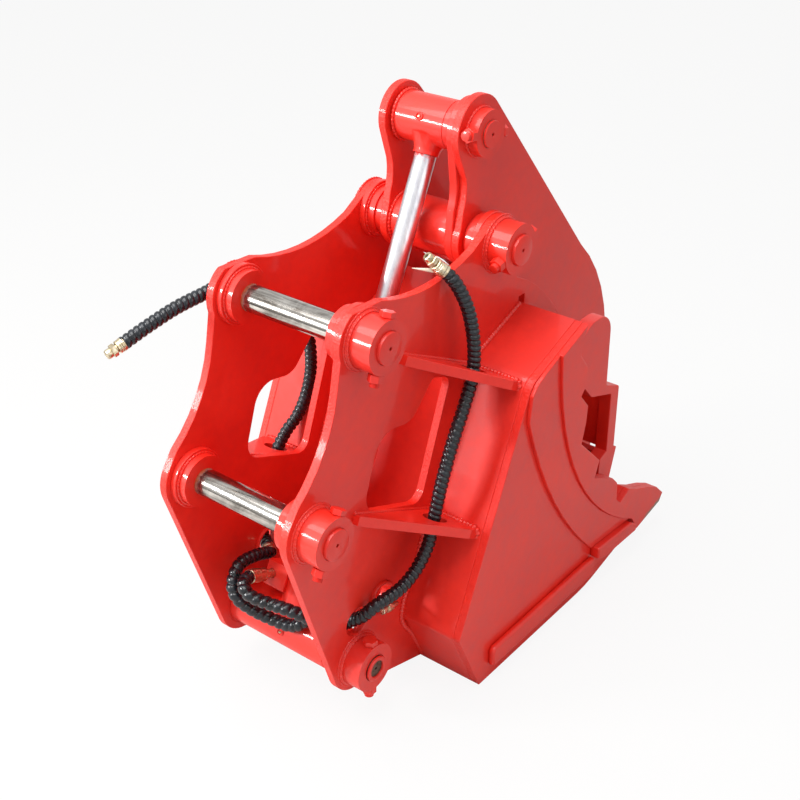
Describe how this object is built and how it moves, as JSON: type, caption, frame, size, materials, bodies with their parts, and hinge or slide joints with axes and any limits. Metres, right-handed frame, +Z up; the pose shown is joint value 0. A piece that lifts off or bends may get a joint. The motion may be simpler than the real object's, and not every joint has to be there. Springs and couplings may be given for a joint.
{
  "type": "grapple bucket",
  "caption": "Excavator bucket between two ear plates, with a clamping jaw that a hydraulic cylinder opens and closes over its mouth.",
  "frame": {"origin": "centre of the ground contact, under the middle of the outline without the hoses", "axes": "+X along the pins to the side with the long bosses, +Y out of the mouth, +Z up with the bucket on its flat bottom"},
  "size_m": [0.62, 1.1345, 1.077],
  "materials": {
    "red_enamel": "glossy enamel over welded steel plate",
    "chrome": "ground and hard-chromed, lightly stained",
    "steel": "turned steel",
    "brass": "turned brass and bronze",
    "hose_guard": "rubber hose in a black spiral guard",
    "seal": "satin"
  },
  "bodies": {
    "bucket": {"shell": "red_enamel", "side_plate_right": "red_enamel", "side_plate_left": "red_enamel", "cheek_plate_right": "red_enamel", "cheek_plate_left": "red_enamel", "mouth_plate_right": "red_enamel", "mouth_plate_left": "red_enamel", "wear_strip_right": "red_enamel", "wear_strip_left": "red_enamel", "wear_block_right": "red_enamel", "wear_block_left": "red_enamel", "cutting_edge": "red_enamel", "ear_plate_right": "red_enamel", "ear_plate_left": "red_enamel", "mount_pin_bosses": "red_enamel", "base_pin_bosses": "red_enamel", "jaw_pin_bosses": "red_enamel", "boss_rings": "red_enamel", "hose_guides": "red_enamel", "brace_upper": "red_enamel", "brace_lower": "red_enamel", "upper_pin": "chrome", "lower_pin": "chrome", "base_pin": "steel", "jaw_pin": "steel", "pin_bolts": "red_enamel", "pin_nuts": "red_enamel", "thrust_washers": "steel", "base_spacer": "red_enamel", "hose_right": "hose_guard", "hose_left": "hose_guard", "hose_nipples": "brass"},
    "jaw": {"jaw_plate_right": "red_enamel", "jaw_plate_left": "red_enamel", "jaw_doubler": "red_enamel", "jaw_hub": "red_enamel", "jaw_bushes": "brass", "rod_pin": "steel", "rod_pin_boss": "red_enamel", "rod_pin_bolt": "red_enamel", "rod_pin_nut": "red_enamel", "rod_pin_spacer": "red_enamel", "jaw_cross_plates": "red_enamel", "jaw_tine_right": "red_enamel", "jaw_tine_left": "red_enamel", "jaw_lip": "red_enamel"},
    "barrel": {"barrel": "red_enamel", "base_eye": "red_enamel", "base_bush": "brass", "gland": "red_enamel", "wiper": "seal", "port_blocks": "red_enamel", "port_fittings": "brass", "rod_end_pipe": "red_enamel", "hose_inner_right": "hose_guard", "hose_inner_left": "hose_guard"},
    "rod": {"rod": "chrome", "piston": "steel", "piston_ring": "seal", "rod_eye": "red_enamel"}
  },
  "joints": [
    {"name": "jaw_hinge", "type": "hinge", "parent": "bucket", "child": "jaw", "pos_m": [0, 0.0385, 0.813], "axis": [1, 0, 0], "range_deg": [0, 50]},
    {"name": "barrel_hinge", "type": "hinge", "parent": "bucket", "child": "barrel", "pos_m": [0, -0.3835, 0.13], "axis": [1, 0, 0], "range_deg": [-0.5, 8]},
    {"name": "rod_slide", "type": "slide", "parent": "barrel", "child": "rod", "axis": [0, 0.4334, 0.9012], "range_m": [-0.12, 0.002]}
  ],
  "couplings": [
    {"joint": "barrel_hinge", "follows": "jaw_hinge", "ratio": 0.1526},
    {"joint": "rod_slide", "follows": "jaw_hinge", "m_per_rad": -0.131}
  ]
}
